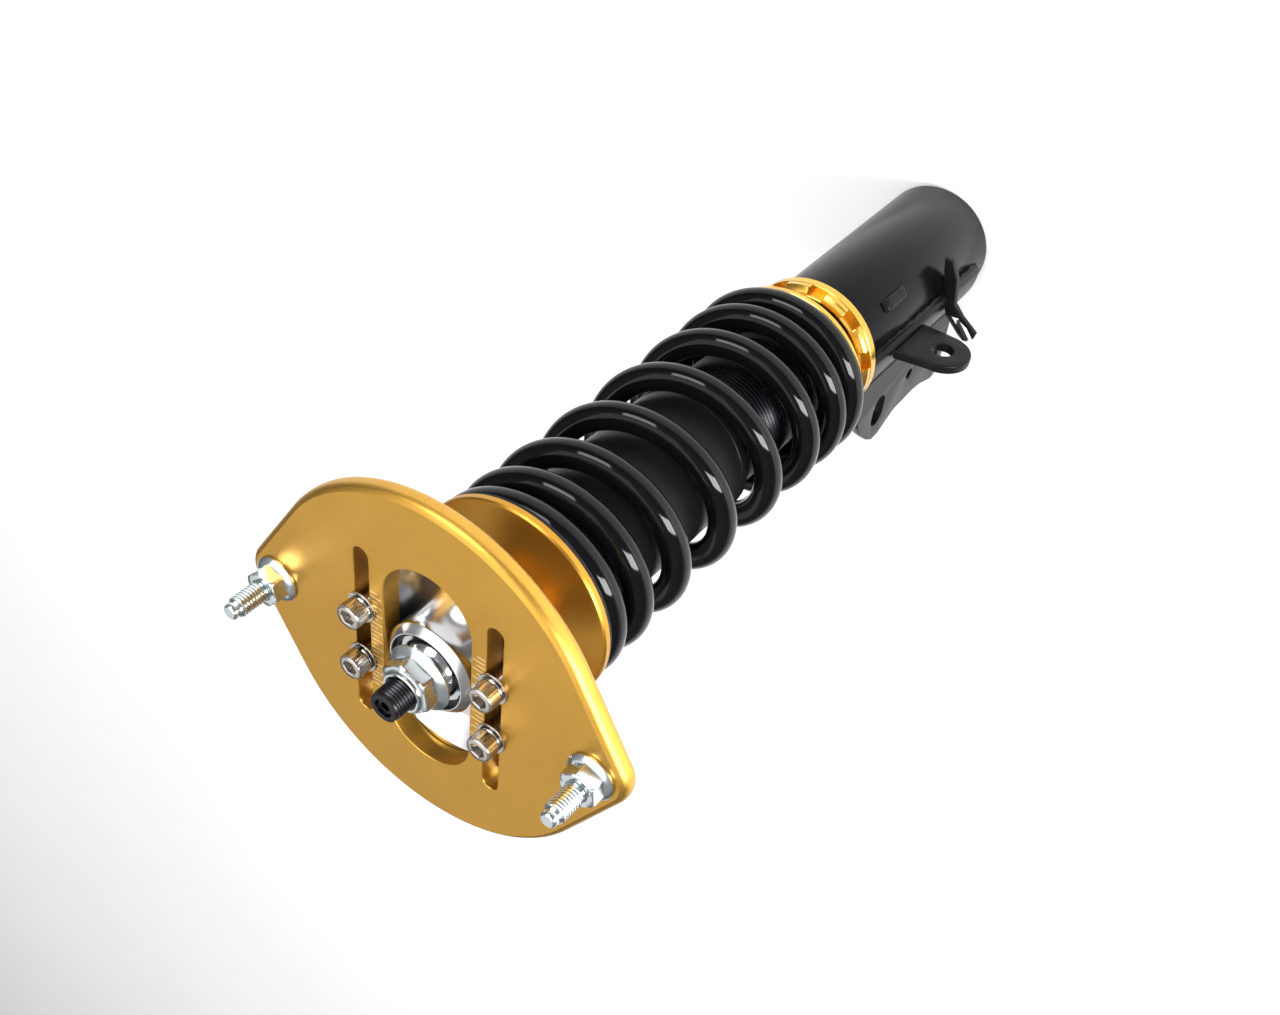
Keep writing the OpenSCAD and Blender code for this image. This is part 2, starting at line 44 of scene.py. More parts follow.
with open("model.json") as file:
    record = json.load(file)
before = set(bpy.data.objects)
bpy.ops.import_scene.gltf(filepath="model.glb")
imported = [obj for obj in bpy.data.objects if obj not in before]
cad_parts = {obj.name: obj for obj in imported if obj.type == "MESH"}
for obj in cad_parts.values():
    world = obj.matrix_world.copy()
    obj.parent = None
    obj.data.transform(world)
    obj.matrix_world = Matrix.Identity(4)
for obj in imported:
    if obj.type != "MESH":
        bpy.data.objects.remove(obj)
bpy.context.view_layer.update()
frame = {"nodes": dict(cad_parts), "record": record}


# ---- dimensions, in millimetres

def cad_box(node):
    """Lowest and highest corner of a CAD node in millimetres."""
    low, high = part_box(node)
    return low / MM, high / MM


PLATE_LOW, PLATE_HIGH = cad_box("camber_plate")
STUD_LOW, STUD_HIGH = cad_box("mounting_studs")
SEAT_LOW, SEAT_HIGH = cad_box("upper_spring_seat")
SPRING_LOW, SPRING_HIGH = cad_box("coil_spring")
TUBE_LOW, TUBE_HIGH = cad_box("lower_tube")
BODY_LOW, BODY_HIGH = cad_box("damper_tube")
PERCH_LOW, PERCH_HIGH = cad_box("spring_perch")
RING_LOW, RING_HIGH = cad_box("lock_ring")
ROD_LOW, ROD_HIGH = cad_box("piston_rod")
NUT_LOW, NUT_HIGH = cad_box("rod_nut")
BOOT_LOW, BOOT_HIGH = cad_box("dust_boot")
ISOLATOR_LOW, ISOLATOR_HIGH = cad_box("lower_isolator")
CARRIER_LOW, CARRIER_HIGH = cad_box("bearing_carrier")

PLATE_R = PLATE_HIGH.y
STUD_X = 68.5
EAR_R = PLATE_HIGH.x - STUD_X
SLOT_X = 28.3
SCREW_Y = 12.15
TUBE_R = TUBE_HIGH.x
SPRING_R = 35.4
WIRE_R = 5.6
SPRING_TURNS = 8.1
BODY_R = BODY_HIGH.x
NOTCHES = 10
SIDES = (-1, 1)
BORE_R = BODY_R + 0.05


# ---- mesh building

def finish_mesh(name, mesh, material, body, nodes, angle):
    """Makes a piece from a mesh in millimetres and puts it on its body in the scene. Its edges over angle
    degrees stay sharp, and it stands for the CAD nodes named."""
    mesh.transform(Matrix.Scale(MM, 4))
    for polygon in mesh.polygons:
        polygon.use_smooth = True
    mesh.set_sharp_from_angle(angle=math.radians(angle))
    mesh.materials.append(MATERIALS[material])
    piece = bpy.data.objects.new(name, mesh)
    bpy.context.scene.collection.objects.link(piece)
    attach(piece, body)
    if nodes:
        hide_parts(*nodes)


def finish(build, name, material, body, node=None, angle=32):
    """Makes a piece from a Build."""
    finish_mesh(name, build.mesh(name), material, body, [node] if node else [],
                angle)


class Build:
    """Collects vertices and faces, in millimetres."""

    def __init__(self):
        self.verts = []
        self.faces = []

    def mesh(self, name):
        mesh = bpy.data.meshes.new(name)
        mesh.from_pydata(self.verts, [], self.faces)
        mesh.validate()
        work = bmesh.new()
        work.from_mesh(mesh)
        bmesh.ops.remove_doubles(work, verts=work.verts, dist=1e-3)
        bmesh.ops.recalc_face_normals(work, faces=work.faces)
        work.to_mesh(mesh)
        work.free()
        return mesh

    def join(self, starts, count):
        """Quads between each ring of count vertices and the next one; starts are their first indices."""
        for low, high in zip(starts, starts[1:]):
            for k in range(count):
                n = (k + 1) % count
                self.faces.append((low + k, low + n, high + n, high + k))
        return self

    def loft(self, sections):
        """Closed sections of equally many points joined in turn, with a face over each end."""
        count = len(sections[0])
        first = len(self.verts)
        starts = [first + count * i for i in range(len(sections))]
        for section in sections:
            self.verts.extend(section)
        self.join(starts, count)
        self.faces.append(tuple(range(starts[0], starts[0] + count)))
        self.faces.append(tuple(range(starts[-1] + count - 1, starts[-1] - 1, -1)))
        return self

    def rings(self, rows, segments, closed=False, place=Matrix.Identity(4), angles=None):
        """Rings about Z joined by quads. A row is (radius, z), and the radius may be a function of the
        angle. A row of radius 0 closes the shape in a point; closed joins the last row to the first."""
        if angles is None:
            angles = [TAU * k / segments for k in range(segments)]
        starts = []
        for radius, z in rows:
            starts.append(len(self.verts))
            for a in angles:
                r = radius(a) if callable(radius) else radius
                self.verts.append(tuple(place @ Vector((r * math.cos(a), r * math.sin(a), z))))
        return self.join(starts + starts[:1] if closed else starts, len(angles))

    def thread(self, major, pitch, z0, z1, depth, segments, place=Matrix.Identity(4), flat=0.0):
        """A thread whose rows follow the helix, starting and ending in a ring of root radius. Flat is
        the part of the pitch that is crest: 0 gives a V."""
        flank = (1 - flat) / 2
        parts = (0, flank, 0.5, 1 - flank) if flat else (0, 0.25, 0.5, 0.75)
        root = major - depth
        starts = []
        for turn in range(-1, math.ceil((z1 - z0) / pitch) + 1):
            for part in parts:
                starts.append(len(self.verts))
                crest = depth * min(1, (1 - abs(2 * part - 1)) / (1 - flat))
                for k in range(segments + 1):
                    z = min(z1, max(z0, z0 + pitch * (turn + part + k / segments)))
                    fade = min(1, (z - z0) / pitch, (z1 - z) / pitch)
                    a = TAU * k / segments
                    r = root + crest * fade
                    self.verts.append(tuple(place @ Vector((r * math.cos(a), r * math.sin(a), z))))
        for low, high in zip(starts, starts[1:]):
            for k in range(segments):
                self.faces.append((low + k, low + k + 1, high + k + 1, high + k))
        return self

    def slab(self, outer, holes, thickness, outer_round, hole_round, place=Matrix.Identity(4),
             steps=5, crease=0.0):
        """A flat plate from z = 0 to thickness with rounded edges. Outlines are lists of (x, y); the
        outer one runs counter-clockwise, the holes clockwise."""
        loops = [(outer, outer_round)] + [(hole, hole_round) for hole in holes]
        caps = {0: [], 1: []}
        for outline, radius in loops:
            rows = []
            for inset, z in edge_rows(radius, thickness, steps, crease):
                rows.append((offset_outline(outline, inset), z))
            starts = []
            for points, z in rows:
                starts.append(len(self.verts))
                self.verts.extend(tuple(place @ Vector((x, y, z))) for x, y in points)
            self.join(starts, len(outline))
            caps[0].append((rows[0][0], starts[0]))
            caps[1].append((rows[-1][0], starts[-1]))
        for cap in caps.values():
            index = []
            for points, start in cap:
                index.extend(range(start, start + len(points)))
            fans = tessellate_polygon([[Vector((x, y, 0)) for x, y in points] for points, _ in cap])
            self.faces.extend(tuple(index[i] for i in fan) for fan in fans)
        return self

    def sweep(self, path, radius, sides, squeeze):
        """A bead along a path of points, flat at both ends. Squeeze is its height over its width.
        The radius may be a function of the way along, from 0 to 1."""
        sections = []
        count = len(path)
        for i, point in enumerate(path):
            here = Vector(point)
            along = Vector(path[min(i + 1, count - 1)]) - Vector(path[max(i - 1, 0)])
            along.normalize()
            across = along.cross(Vector((0, 0, 1)) if abs(along.z) < 0.9 else Vector((1, 0, 0)))
            across.normalize()
            up = across.cross(along)
            r = radius(i / (count - 1)) if callable(radius) else radius
            angles = [TAU * k / sides for k in range(sides)]
            sections.append([tuple(here + across * r * math.cos(a) + up * r * squeeze * math.sin(a))
                             for a in angles])
        return self.loft(sections)


def edge_rows(radius, thickness, steps, crease):
    """(inset, z) of the rows that round both edges of a slab, with a crease in degrees at each face."""
    first = math.radians(crease)
    bottom = [(radius * (1 - math.sin(a)), radius * (math.cos(first) - math.cos(a)))
              for a in (first + (math.pi / 2 - first) * k / steps for k in range(steps + 1))]
    top = [(inset, thickness - z) for inset, z in reversed(bottom)]
    return bottom + top


def offset_outline(points, inset):
    """Moves a closed outline to its left by inset, each corner along its mitre."""
    result = []
    count = len(points)
    for k in range(count):
        before, here, after = (Vector(points[(k + d) % count]) for d in (-1, 0, 1))
        a = (here - before).normalized()
        b = (after - here).normalized()
        left = Vector((-a.y, a.x)) + Vector((-b.y, b.x))
        left.normalize()
        scale = max(0.5, left.dot(Vector((-a.y, a.x))))
        result.append(tuple(here + left * inset / scale))
    return result


def arc(centre, radius, start, end, steps):
    """Points on an arc, angles in degrees."""
    angles = (math.radians(start + (end - start) * k / steps) for k in range(steps + 1))
    return [(centre[0] + radius * math.cos(a), centre[1] + radius * math.sin(a)) for a in angles]


def circle(centre, radius, steps):
    """A round hole's outline, clockwise."""
    return arc(centre, radius, 0, -360, steps)[:-1]


def obround(centre, half_width, end, steps, along=90):
    """A slot with round ends, clockwise: end is from its centre to an arc's centre."""
    c, s = math.cos(math.radians(along)), math.sin(math.radians(along))
    far = (centre[0] + c * end, centre[1] + s * end)
    near = (centre[0] - c * end, centre[1] - s * end)
    points = arc(far, half_width, along - 90, along + 90, steps)
    points += arc(near, half_width, along + 90, along + 270, steps)
    return points[::-1]


def rounded(corners):
    """A polygon whose corners (x, y, radius) are replaced by arcs."""
    points = []
    count, steps = len(corners), 6
    for k in range(count):
        before, here, after = (Vector(corners[(k + d) % count][:2]) for d in (-1, 0, 1))
        radius = corners[k][2]
        a, b = (before - here).normalized(), (after - here).normalized()
        half = math.acos(max(-1, min(1, a.dot(b)))) / 2
        if radius <= 0 or half > math.radians(88):
            points.append(tuple(here))
            continue
        reach = radius / math.tan(half)
        start, end = here + a * reach, here + b * reach
        centre = here + (a + b).normalized() * (radius / math.sin(half))
        first, last = start - centre, end - centre
        turn = math.atan2(first.x * last.y - first.y * last.x, first.dot(last))
        for i in range(steps + 1):
            t = turn * i / steps
            c, s = math.cos(t), math.sin(t)
            points.append((centre.x + first.x * c - first.y * s, centre.y + first.x * s + first.y * c))
    return points


def hexagon(flats, turn=0.0):
    """Radius of a hexagon at an angle; turn moves its corners."""
    def radius(a):
        within = (a - turn + TAU / 12) % (TAU / 6) - TAU / 12
        return flats / 2 / math.cos(within)
    return radius


def capped(shape, limit):
    """A radius function that is never over limit."""
    return lambda a: min(shape(a), limit)


def moved(x=0.0, y=0.0, z=0.0, turn=0.0):
    """A place in millimetres, turned about its own Z by radians."""
    return Matrix.Translation((x, y, z)) @ Matrix.Rotation(turn, 4, "Z")


# ---- materials

def node_material(name):
    """A new material, its node tree and its shader."""
    material = bpy.data.materials.new(name)
    material.use_nodes = True
    tree = material.node_tree
    shader = tree.nodes["Principled BSDF"]
    return material, tree, shader


def add_noise(tree, scale):
    """Noise over the object's own coordinates, in cycles per metre."""
    coords = tree.nodes.new("ShaderNodeTexCoord")
    noise = tree.nodes.new("ShaderNodeTexNoise")
    noise.inputs["Scale"].default_value = scale
    noise.inputs["Detail"].default_value = 3
    tree.links.new(coords.outputs["Object"], noise.inputs["Vector"])
    return noise.outputs["Fac"]


def add_turned(tree, pitch_mm):
    """Fine rings about Z, as a lathe tool leaves them: noise of the distance from the axis."""
    coords = tree.nodes.new("ShaderNodeTexCoord")
    split = tree.nodes.new("ShaderNodeSeparateXYZ")
    flat = tree.nodes.new("ShaderNodeCombineXYZ")
    length = tree.nodes.new("ShaderNodeVectorMath")
    length.operation = "LENGTH"
    both = tree.nodes.new("ShaderNodeCombineXYZ")
    noise = tree.nodes.new("ShaderNodeTexNoise")
    noise.inputs["Scale"].default_value = 1 / (pitch_mm * MM)
    noise.inputs["Detail"].default_value = 2
    tree.links.new(coords.outputs["Object"], split.inputs[0])
    tree.links.new(split.outputs["X"], flat.inputs["X"])
    tree.links.new(split.outputs["Y"], flat.inputs["Y"])
    tree.links.new(flat.outputs[0], length.inputs[0])
    tree.links.new(length.outputs["Value"], both.inputs["X"])
    tree.links.new(split.outputs["Z"], both.inputs["Y"])
    tree.links.new(both.outputs[0], noise.inputs["Vector"])
    return noise.outputs["Fac"]


def ranged(tree, value, low, high):
    """Maps a 0..1 value to low..high."""
    node = tree.nodes.new("ShaderNodeMapRange")
    node.inputs["To Min"].default_value = low
    node.inputs["To Max"].default_value = high
    tree.links.new(value, node.inputs["Value"])
    return node.outputs["Result"]


def tint(tree, value, dark, light):
    """A colour between dark and light by value. Noise is rarely below 0.3 or above 0.7."""
    ramp = tree.nodes.new("ShaderNodeValToRGB")
    for stop, position, color in zip(ramp.color_ramp.elements, (0.3, 0.7), (dark, light)):
        stop.position = position
        stop.color = (*color, 1)
    tree.links.new(value, ramp.inputs["Fac"])
    return ramp.outputs["Color"]


def add_bump(tree, shader, value, strength, distance_mm):
    """Bump by value, distance_mm high."""
    bump = tree.nodes.new("ShaderNodeBump")
    bump.inputs["Strength"].default_value = strength
    bump.inputs["Distance"].default_value = distance_mm * MM
    tree.links.new(value, bump.inputs["Height"])
    tree.links.new(bump.outputs["Normal"], shader.inputs["Normal"])


def shade(color, factor):
    """A colour made lighter or darker."""
    return tuple(min(1.0, c * factor) for c in color)


def metal(name, color, rough, grain_scale=900, bump=0.15, bump_mm=0.02, spread=0.06, turned=None,
          streak=0.0, speckle=0.0):
    """A metal: cloudy tint, uneven roughness and a fine grain or turning marks. Streak stretches its
    highlights across the turning marks; speckle mottles it as blasting does."""
    material, tree, shader = node_material(name)
    shader.inputs["Metallic"].default_value = 1
    cloud = add_noise(tree, 40)
    grain = add_turned(tree, turned) if turned else add_noise(tree, grain_scale)
    shade_by = cloud
    if speckle:
        mix = tree.nodes.new("ShaderNodeMix")
        mix.inputs["Factor"].default_value = speckle
        tree.links.new(cloud, mix.inputs["A"])
        tree.links.new(grain, mix.inputs["B"])
        shade_by = mix.outputs["Result"]
    tree.links.new(tint(tree, shade_by, shade(color, 1 - spread), shade(color, 1 + spread)),
                   shader.inputs["Base Color"])
    tree.links.new(ranged(tree, grain, rough * 0.8, rough * 1.2), shader.inputs["Roughness"])
    if streak:
        shader.inputs["Anisotropic"].default_value = streak
        tangent = tree.nodes.new("ShaderNodeTangent")
        tangent.direction_type = "RADIAL"
        tangent.axis = "Z"
        tree.links.new(tangent.outputs["Tangent"], shader.inputs["Tangent"])
    add_bump(tree, shader, grain, bump, bump_mm)
    return material


def coated(name, color, rough, gloss=0.5, peel_scale=350, bump=0.08, bump_mm=0.03):
    """Paint, rubber or plastic: a little uneven, with the orange peel of a coating."""
    material, tree, shader = node_material(name)
    cloud = add_noise(tree, 60)
    tree.links.new(tint(tree, cloud, shade(color, 0.9), shade(color, 1.15)), shader.inputs["Base Color"])
    peel = add_noise(tree, peel_scale)
    tree.links.new(ranged(tree, peel, rough * 0.85, rough * 1.15), shader.inputs["Roughness"])
    shader.inputs["Specular IOR Level"].default_value = gloss
    add_bump(tree, shader, peel, bump, bump_mm)
    return material


METALS = {
    "plate_gold": dict(color=(0.60, 0.335, 0.060), rough=0.40, grain_scale=1500, bump=0.5,
                       bump_mm=0.05, spread=0.10, speckle=0.6),
    "seat_gold": dict(color=(0.52, 0.265, 0.04), rough=0.36, turned=0.35, bump=0.12),
    "ring_gold": dict(color=(0.70, 0.40, 0.075), rough=0.22, turned=0.3, bump=0.06),
    "zinc": dict(color=(0.64, 0.69, 0.71), rough=0.20, grain_scale=700, bump=0.10),
    "stainless": dict(color=(0.50, 0.465, 0.43), rough=0.24, bump=0.12),
    "polished_aluminium": dict(color=(0.64, 0.64, 0.65), rough=0.18, turned=0.25, bump=0.10,
                               streak=0.6),
    "bearing_steel": dict(color=(0.60, 0.61, 0.63), rough=0.15, grain_scale=700, bump=0.05),
    "black_oxide": dict(color=(0.035, 0.035, 0.038), rough=0.36),
    "adjuster_black": dict(color=(0.02, 0.02, 0.023), rough=0.30, bump=0.1),
    "inner_steel": dict(color=(0.45, 0.45, 0.46), rough=0.3, turned=0.3),
    "body_dark": dict(color=(0.020, 0.020, 0.022), rough=0.30, grain_scale=700, bump=0.1),
    "laser_mark": dict(color=(0.95, 0.80, 0.52), rough=0.45, grain_scale=1500, bump=0.1),
}
COATINGS = {
    "liner_white": dict(color=(0.70, 0.68, 0.62), rough=0.5),
    "spring_black": dict(color=(0.003, 0.003, 0.0035), rough=0.08, gloss=0.20, peel_scale=260,
                         bump=0.02),
    "boot_black": dict(color=(0.006, 0.006, 0.0065), rough=0.36, gloss=0.10, peel_scale=500,
                       bump=0.10),
    "isolator_black": dict(color=(0.010, 0.010, 0.010), rough=0.60, gloss=0.2, peel_scale=800,
                           bump=0.2),
    "foam_yellow": dict(color=(0.45, 0.30, 0.06), rough=0.75, gloss=0.3, peel_scale=900, bump=0.4,
                        bump_mm=0.08),
    "tube_black": dict(color=(0.003, 0.003, 0.0035), rough=0.18, gloss=0.06, peel_scale=240,
                       bump=0.04),
    "bracket_black": dict(color=(0.006, 0.006, 0.007), rough=0.30, gloss=0.11, peel_scale=240,
                          bump=0.05),
}
MATERIALS = {name: metal(name, **look) for name, look in METALS.items()}
MATERIALS |= {name: coated(name, **look) for name, look in COATINGS.items()}


# ---- top mount

def camber_plate():
    """The gold plate: a disc with two ears, a window, two camber slots and the studs' holes."""
    outer_round, hole_round, face_crease = 3.4, 0.5, 18
    window_r, window_reach = 18.8, 24.6
    slot_r, slot_reach = 3.25, 35.55
    stud_hole_r = 4.5
    tangent = math.degrees(math.acos((PLATE_R - EAR_R) / STUD_X))
    outline = arc((STUD_X, 0), EAR_R, -tangent, tangent, 24)
    outline += arc((0, 0), PLATE_R, tangent, 180 - tangent, 96)
    outline += arc((-STUD_X, 0), EAR_R, 180 - tangent, 180 + tangent, 24)
    outline += arc((0, 0), PLATE_R, 180 + tangent, 360 - tangent, 96)
    holes = [obround((0, 0), window_r, window_reach, steps=40)]
    holes += [obround((side * SLOT_X, 0), slot_r, slot_reach, steps=16) for side in SIDES]
    holes += [circle((side * STUD_X, 0), stud_hole_r, 32) for side in SIDES]
    thickness = PLATE_HIGH.z - PLATE_LOW.z
    build = Build().slab(outline, holes, thickness, outer_round, hole_round, moved(z=PLATE_LOW.z),
                         steps=8, crease=face_crease)
    finish(build, "camber_plate_machined", "plate_gold", "top_plate", "camber_plate", angle=14)


def camber_scale():
    """Graduation ticks on the lands between the window and the slots."""
    pitch, half_thick, height, each_way = 2.0, 0.17, 0.03, 11
    first, last, shorter = 19.5, 24.5, 1.8
    build = Build()
    for side in SIDES:
        for k in range(-each_way, each_way + 1):
            inner = first if k % 2 == 0 else first + shorter
            y = k * pitch
            corners = [(side * x, y + d) for x, d in ((inner, -half_thick), (last, -half_thick),
                                                      (last, half_thick), (inner, half_thick))]
            if side < 0:
                corners.reverse()
            build.slab(corners, [], 2 * height, 0.005, 0, moved(z=-height))
    finish(build, "camber_scale", "laser_mark", "top_plate")


def mounting_studs():
    """Studs pressed up through the ears: a round head below, a thread and a plain point above."""
    major, pitch, depth, segments = 4.0, 1.25, 0.70, 40
    z0, z1, point_z = 0.4, 20.3, 22.0
    head_r, neck_r, point_r = 7.0, 4.4, 3.1
    root = major - depth
    low, seat, tip = STUD_LOW.z, PLATE_LOW.z, STUD_HIGH.z
    build = Build()
    for side in SIDES:
        place = moved(side * STUD_X)
        rows = [(0, low), (head_r - 0.7, low), (head_r - 0.1, low + 0.3), (head_r, low + 0.7),
                (head_r, seat - 0.3), (head_r - 0.2, seat - 0.02), (neck_r, seat), (neck_r, -0.3),
                (root, 0), (root, z0)]
        build.rings(rows, segments, place=place)
        build.thread(major, pitch, z0, z1, depth, segments, place, flat=0.5)
        build.rings([(root, z1), (point_r, z1 + 0.3), (point_r, point_z), (point_r - 0.4, tip - 0.25),
                     (point_r - 0.8, tip), (0, tip)], segments, place=place)
    finish(build, "mounting_studs_threaded", "zinc", "top_plate", "mounting_studs")


def nut_rows(bore, flats, flange, flange_h, height, turn):
    """A flange nut on z = 0: domed flange, hexagon with chamfered corners, countersunk bore."""
    shape = hexagon(flats, turn)
    corner_r, bevel = flats / math.sqrt(3), 0.75
    return [(bore, 0), (flange - 0.3, 0), (flange, 0.3), (flange, flange_h * 0.55),
            (flange - 0.5, flange_h * 0.85), (corner_r + 0.15, flange_h + 0.35),
            (shape, flange_h + 0.6), (shape, height - bevel - 0.5),
            (capped(shape, corner_r - 0.15), height - bevel),
            (capped(shape, corner_r - 0.5), height - 0.35), (flats / 2 - 0.35, height),
            (bore + 0.7, height), (bore, height - 0.6)]


def flange_nuts():
    """M8 flange nuts on the studs, each tightened to an angle of its own."""
    bore, flats, flange, flange_h, height = 3.65, 13, 9.1, 1.8, 8
    build = Build()
    for side, turn in ((-1, 0.30), (1, 0.12)):
        build.rings(nut_rows(bore, flats, flange, flange_h, height, turn), 96, closed=True,
                    place=moved(side * STUD_X))
    finish(build, "flange_nuts_formed", "zinc", "top_plate", "flange_nuts")


def screw_places():
    """(x, y, turn) of the four camber screws."""
    return [(x * SLOT_X, y * SCREW_Y, 0.4 + x * 0.3 + y * 0.5) for x in SIDES for y in SIDES]


def carrier_screws():
    """M6 socket cap screws with knurled heads."""
    tip, base, top = -19.0, 2.0, 7.4
    shank_r, head_r, socket, socket_depth = 2.95, 5.0, hexagon(5.0), 3.0
    flutes, flute_depth = 30, 0.14

    def knurl(a):
        return head_r - flute_depth * (0.5 + 0.5 * math.cos(flutes * a))

    build = Build()
    for x, y, turn in screw_places():
        rows = [(0, tip), (shank_r - 0.35, tip), (shank_r, tip + 0.5), (shank_r, base),
                (head_r - 0.3, base), (head_r - 0.05, base + 0.3), (knurl, base + 0.6), (knurl, top - 0.9),
                (head_r - 0.1, top - 0.65), (head_r - 0.25, top - 0.3), (head_r - 0.75, top),
                (lambda a: socket(a) + 0.35, top), (socket, top - 0.3), (socket, top - socket_depth),
                (0, top - socket_depth - 0.8)]
        build.rings(rows, 120, place=moved(x, y, 0, turn))
    finish(build, "carrier_screws_formed", "stainless", "carrier", "carrier_screws")


def washers():
    """The washers sit a hair above the plate, so that they clear its marks when they slide."""
    inner, outer, top, lift = 3.1, 6.0, 0.8, 0.04
    rows = [(inner, lift), (outer - 0.15, lift), (outer, 0.18), (outer, top - 0.2), (outer - 0.2, top),
            (inner + 0.1, top), (inner, top - 0.1)]
    wire_r, flattened, wire_z, wire_rise = 0.88, 0.62, 1.32, 0.1
    gap, mid, steps = 0.14, 4.05, 44
    flat, split = Build(), Build()
    for x, y, turn in screw_places():
        flat.rings(rows, 48, closed=True, place=moved(x, y))
        path = []
        for k in range(steps + 1):
            a = turn + 2 + gap + (TAU - 2 * gap) * k / steps
            path.append((x + mid * math.cos(a), y + mid * math.sin(a), wire_z + wire_rise * k / steps))
        split.sweep(path, wire_r, 8, squeeze=flattened)
    finish(flat, "flat_washers_stamped", "stainless", "carrier", "flat_washers")
    finish(split, "spring_washers_coiled", "stainless", "carrier", "spring_washers")


def apply_boolean(target, cutter, operation):
    """Applies one boolean to a mesh object and removes the cutter."""
    modifier = target.modifiers.new("cut", "BOOLEAN")
    modifier.operation = operation
    modifier.object = cutter
    modifier.solver = "EXACT"
    bpy.context.view_layer.update()
    graph = bpy.context.evaluated_depsgraph_get()
    result = bpy.data.meshes.new_from_object(target.evaluated_get(graph))
    target.modifiers.clear()
    target.data = result
    bpy.data.objects.remove(cutter)


def scratch(build, name):
    """A mesh object for a boolean, in millimetres and on no body; it is removed afterwards."""
    piece = bpy.data.objects.new(name, build.mesh(name))
    bpy.context.scene.collection.objects.link(piece)
    return piece


def box_build(low, high):
    """A plain box between two corners."""
    build = Build()
    outline = [(low[0], low[1]), (high[0], low[1]), (high[0], high[1]), (low[0], high[1])]
    return build.slab(outline, [], high[2] - low[2], 0.001, 0, moved(z=low[2]))


def bearing_carrier():
    """The aluminium housing: a disc and a boss, turned, with a coned pocket cut across by the slide."""
    low, top = CARRIER_LOW.z, -8.05
    radius, skirt_r, boss_r = CARRIER_HIGH.x, 20.0, 18.2
    bore_r, groove_r, lip_r = 15.0, 15.8, 13.0
    groove_low, groove_high, race_floor, lip_floor = -2.0, -0.75, -12.0, -13.5
    rows = [(skirt_r, low), (radius - 1.2, low), (radius - 0.3, low + 0.3), (radius, low + 1.2),
            (radius, top - 1.2), (radius - 0.3, top - 0.3), (radius - 1.2, top), (boss_r, top),
            (boss_r, -2.1), (boss_r - 0.1, -1.8), (15.8, 0.5), (15.6, 0.65), (15.45, 0.7), (15.2, 0.68),
            (bore_r, 0.5), (bore_r, groove_high), (groove_r, groove_high), (groove_r, groove_low),
            (bore_r, groove_low), (bore_r, race_floor), (lip_r, race_floor), (lip_r, lip_floor)]
    block = scratch(Build().rings(rows, 160, closed=True), "carrier_block")
    floor_z, floor_r, rim_r, over = top - 6.5, 31.0, 41.0, 3
    cone = Build().rings([(boss_r, floor_z), (floor_r, floor_z), (floor_r + 0.4, floor_z + 0.15),
                          (rim_r, top), (rim_r, top + over), (boss_r, top + over)], 160, closed=True)
    pocket = scratch(cone, "carrier_pocket")
    half_width, reach = 19.2, 44
    slab = scratch(box_build((-half_width, -reach, floor_z - 2), (half_width, reach, top + 5)), "slab")
    apply_boolean(pocket, slab, "INTERSECT")
    apply_boolean(block, pocket, "DIFFERENCE")
    mesh = block.data.copy()
    bpy.data.objects.remove(block)
    finish_mesh("bearing_carrier_turned", mesh, "polished_aluminium", "carrier",
                ["bearing_carrier"], 25)


def retaining_ring():
    """The circlip over the bearing, open by a gap on each side of angle 0."""
    gap, steps = 0.22, 60
    low, high = -1.85, -0.85
    inner, outer = 13.7, 15.7
    profile = [(inner, low), (outer, low), (outer, high), (inner, high)]
    angles = [gap + (TAU - 2 * gap) * k / steps for k in range(steps + 1)]
    build = Build().loft([[(r * math.cos(a), r * math.sin(a), z) for r, z in profile] for a in angles])
    finish(build, "retaining_ring_sprung", "black_oxide", "carrier", "retaining_ring")


# ---- rod

def rod_nut():
    """The nut on the rod's thread: flange, hexagon and a round collar on top."""
    base, top = NUT_LOW.z, NUT_HIGH.z
    bore, flange, collar, shape = 6.1, 13.0, 7.9, hexagon(18.5, 0.18)
    rows = [(bore, base), (flange - 0.4, base), (flange, base + 0.3), (flange, base + 0.9),
            (flange - 0.8, base + 1.3), (10.9, base + 2.2), (shape, base + 2.6), (shape, top - 2.7),
            (capped(shape, 10.4), top - 2.3), (capped(shape, 9.5), top - 1.85),
            (collar + 0.4, top - 1.75), (collar, top - 1.5), (collar, top - 0.4), (collar - 0.4, top),
            (bore + 0.7, top), (bore, top - 0.5)]
    build = Build().rings(rows, 120, closed=True)
    finish(build, "rod_nut_formed", "zinc", "rod", "rod_nut")


def piston_rod():
    """The rod: a stem for the piston, the shaft, and the threaded end with the adjuster's bore."""
    low, stem_top, shoulder, tip = ROD_LOW.z, -166.0, -27.5, ROD_HIGH.z
    stem_r, shaft_r, bore_r, bore_depth = 6.0, 10.0, 3.5, 12
    major, pitch, depth, segments = 6.0, 1.25, 0.42, 64
    z0, z1 = 3.0, tip - 0.6
    root = major - depth
    rows = [(0, low), (stem_r - 0.5, low), (stem_r, low + 0.5), (stem_r, stem_top),
            (shaft_r - 0.4, stem_top), (shaft_r, stem_top + 0.4), (shaft_r, shoulder - 0.4),
            (shaft_r - 0.4, shoulder), (root, shoulder), (root, z0)]
    build = Build().rings(rows, segments).thread(major, pitch, z0, z1, depth, segments)
    build.rings([(root, z1), (root, tip - 0.25), (5.0, tip), (bore_r + 0.2, tip), (bore_r, tip - 0.2),
                 (bore_r, tip - bore_depth), (0, tip - bore_depth)], segments)
    finish(build, "piston_rod_threaded", "black_oxide", "rod", "piston_rod")


